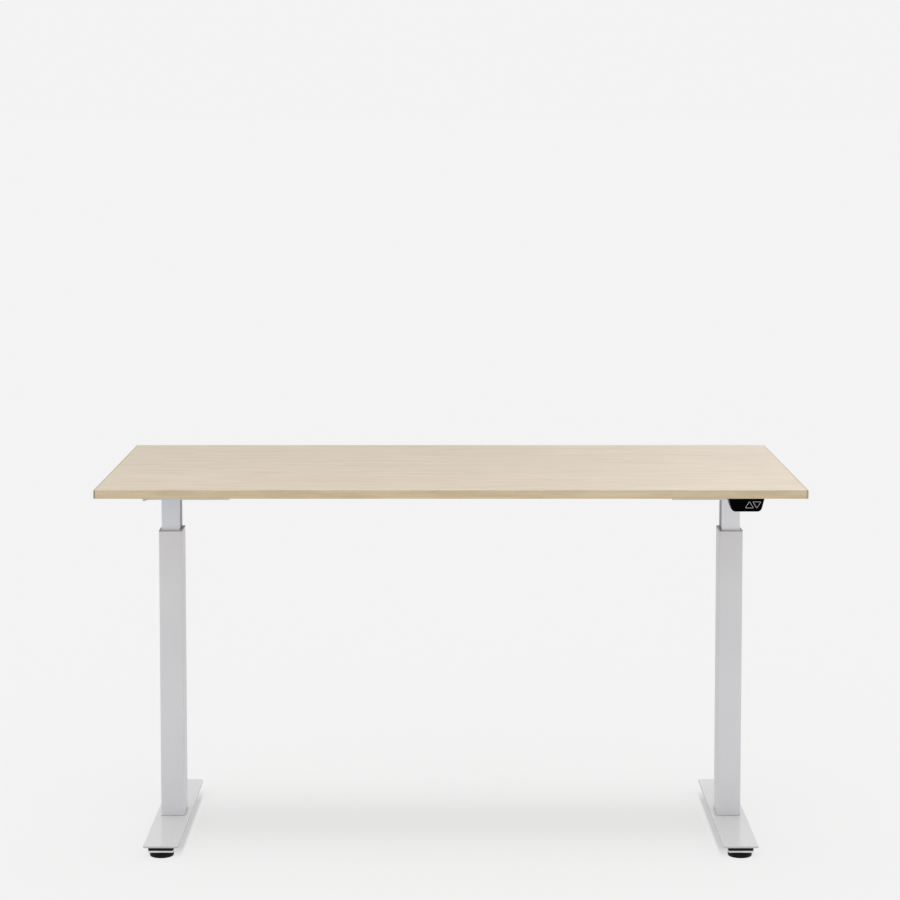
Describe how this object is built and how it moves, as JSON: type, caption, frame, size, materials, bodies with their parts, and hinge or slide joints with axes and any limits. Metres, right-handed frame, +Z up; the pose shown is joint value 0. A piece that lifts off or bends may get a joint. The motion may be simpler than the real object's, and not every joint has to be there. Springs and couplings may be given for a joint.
{
  "type": "height adjustable standing desk",
  "caption": "Electric height adjustable desk: rectangular maple-look top on two telescopic steel columns with flat plate feet, round levellers and an up and down keypad.",
  "frame": {"origin": "on the floor under the middle of the top", "axes": "+X to the right along the top's length, +Y towards the back, +Z up; the keypad is on the -Y edge"},
  "size_m": [1.5, 0.75, 0.814],
  "materials": {
    "maple_laminate": "satin maple-look laminate",
    "maple_edging": "satin maple-look edging",
    "outer_coat": "fine silver-grey powder coat",
    "inner_coat": "fine silver-grey powder coat",
    "foot_coat": "fine light grey powder coat",
    "frame_coat": "silver-grey powder coat",
    "zinc_steel": "bright zinc plate",
    "black_plastic": "black moulded plastic",
    "collar_plastic": "dark grey moulded plastic",
    "glide_plastic": "natural low-friction plastic",
    "turned_steel": "rolled and ground steel",
    "gear_bronze": "machined bronze",
    "gearbox_alloy": "die-cast alloy",
    "motor_can": "plated steel",
    "circuit_board": "solder-masked board",
    "keypad_gloss": "gloss black plastic",
    "lead_sheath": "black flexible sheath"
  },
  "bodies": {
    "base": {"left_foot_plate": "foot_coat", "right_foot_plate": "foot_coat", "left_outer_column": "outer_coat", "right_outer_column": "outer_coat", "column_base_plates": "foot_coat", "column_base_bolts": "zinc_steel", "column_collars": "collar_plastic", "upper_glides": "glide_plastic", "left_nut_tube": "zinc_steel", "right_nut_tube": "zinc_steel", "spindle_nuts": "glide_plastic", "leveller_sockets": "black_plastic", "leveller_inserts": "zinc_steel"},
    "lifted_frame": {"tabletop_panel": "maple_laminate", "long_edge_strips": "maple_edging", "side_edge_strips": "maple_edging", "tabletop_screws": "zinc_steel", "left_support_arm": "frame_coat", "right_support_arm": "frame_coat", "left_gear_head": "frame_coat", "right_gear_head": "frame_coat", "front_beam_rail": "frame_coat", "rear_beam_rail": "frame_coat", "frame_bolts": "zinc_steel", "left_inner_column": "inner_coat", "right_inner_column": "inner_coat", "lower_glides": "glide_plastic", "left_motor": "motor_can", "right_motor": "motor_can", "left_gearbox": "gearbox_alloy", "right_gearbox": "gearbox_alloy", "gearbox_covers": "gearbox_alloy", "spindle_bearings": "turned_steel", "control_box_case": "black_plastic", "control_box_lid": "black_plastic", "control_board": "circuit_board", "mains_inlet": "black_plastic", "keypad_case": "black_plastic", "keypad_face": "keypad_gloss", "keypad_board": "circuit_board", "left_motor_lead": "lead_sheath", "right_motor_lead": "lead_sheath", "keypad_lead": "lead_sheath", "lead_clips": "black_plastic"},
    "left_spindle_drive": {"left_spindle": "turned_steel", "left_worm_wheel": "gear_bronze"},
    "left_worm_drive": {"left_worm_shaft": "turned_steel"},
    "right_spindle_drive": {"right_spindle": "turned_steel", "right_worm_wheel": "gear_bronze"},
    "right_worm_drive": {"right_worm_shaft": "turned_steel"},
    "up_button": {"up_button": "keypad_gloss"},
    "down_button": {"down_button": "keypad_gloss"},
    "left_front_pad": {"left_front_pad": "black_plastic"},
    "left_front_stud": {"left_front_stud": "zinc_steel"},
    "left_rear_pad": {"left_rear_pad": "black_plastic"},
    "left_rear_stud": {"left_rear_stud": "zinc_steel"},
    "right_front_pad": {"right_front_pad": "black_plastic"},
    "right_front_stud": {"right_front_stud": "zinc_steel"},
    "right_rear_pad": {"right_rear_pad": "black_plastic"},
    "right_rear_stud": {"right_rear_stud": "zinc_steel"}
  },
  "joints": [
    {"name": "desk_lift", "type": "slide", "parent": "base", "child": "lifted_frame", "axis": [0, 0, 1], "range_m": [-0.065, 0.42]},
    {"name": "left_spindle_turn", "type": "hinge", "parent": "lifted_frame", "child": "left_spindle_drive", "pos_m": [-0.626, 0, 0.4], "axis": [0, 0, 1], "continuous": true},
    {"name": "left_worm_turn", "type": "hinge", "parent": "lifted_frame", "child": "left_worm_drive", "pos_m": [-0.626, 0.0211, 0.767], "axis": [1, 0, 0], "continuous": true},
    {"name": "right_spindle_turn", "type": "hinge", "parent": "lifted_frame", "child": "right_spindle_drive", "pos_m": [0.626, 0, 0.4], "axis": [0, 0, 1], "continuous": true},
    {"name": "right_worm_turn", "type": "hinge", "parent": "lifted_frame", "child": "right_worm_drive", "pos_m": [0.626, 0.0211, 0.767], "axis": [1, 0, 0], "continuous": true},
    {"name": "up_button_press", "type": "slide", "parent": "lifted_frame", "child": "up_button", "axis": [0, 1, 0], "range_m": [0, 0.0008], "stiffness_N_per_m": 1500, "springref_m": -0.0004},
    {"name": "down_button_press", "type": "slide", "parent": "lifted_frame", "child": "down_button", "axis": [0, 1, 0], "range_m": [0, 0.0008], "stiffness_N_per_m": 1500, "springref_m": -0.0004},
    {"name": "left_front_level", "type": "slide", "parent": "base", "child": "left_front_pad", "axis": [0, 0, -1], "range_m": [0, 0.004]},
    {"name": "left_front_stud_turn", "type": "hinge", "parent": "left_front_pad", "child": "left_front_stud", "pos_m": [-0.626, -0.2565, 0.015], "axis": [0, 0, 1], "continuous": true},
    {"name": "left_rear_level", "type": "slide", "parent": "base", "child": "left_rear_pad", "axis": [0, 0, -1], "range_m": [0, 0.004]},
    {"name": "left_rear_stud_turn", "type": "hinge", "parent": "left_rear_pad", "child": "left_rear_stud", "pos_m": [-0.626, 0.2565, 0.015], "axis": [0, 0, 1], "continuous": true},
    {"name": "right_front_level", "type": "slide", "parent": "base", "child": "right_front_pad", "axis": [0, 0, -1], "range_m": [0, 0.004]},
    {"name": "right_front_stud_turn", "type": "hinge", "parent": "right_front_pad", "child": "right_front_stud", "pos_m": [0.626, -0.2565, 0.015], "axis": [0, 0, 1], "continuous": true},
    {"name": "right_rear_level", "type": "slide", "parent": "base", "child": "right_rear_pad", "axis": [0, 0, -1], "range_m": [0, 0.004]},
    {"name": "right_rear_stud_turn", "type": "hinge", "parent": "right_rear_pad", "child": "right_rear_stud", "pos_m": [0.626, 0.2565, 0.015], "axis": [0, 0, 1], "continuous": true}
  ],
  "couplings": [
    {"joint": "left_spindle_turn", "follows": "desk_lift", "rad_per_m": 785.4},
    {"joint": "left_worm_turn", "follows": "desk_lift", "rad_per_m": 15708},
    {"joint": "right_spindle_turn", "follows": "desk_lift", "rad_per_m": 785.4},
    {"joint": "right_worm_turn", "follows": "desk_lift", "rad_per_m": -15708},
    {"joint": "left_front_stud_turn", "follows": "left_front_level", "rad_per_m": -5026.5},
    {"joint": "left_rear_stud_turn", "follows": "left_rear_level", "rad_per_m": -5026.5},
    {"joint": "right_front_stud_turn", "follows": "right_front_level", "rad_per_m": -5026.5},
    {"joint": "right_rear_stud_turn", "follows": "right_rear_level", "rad_per_m": -5026.5}
  ]
}
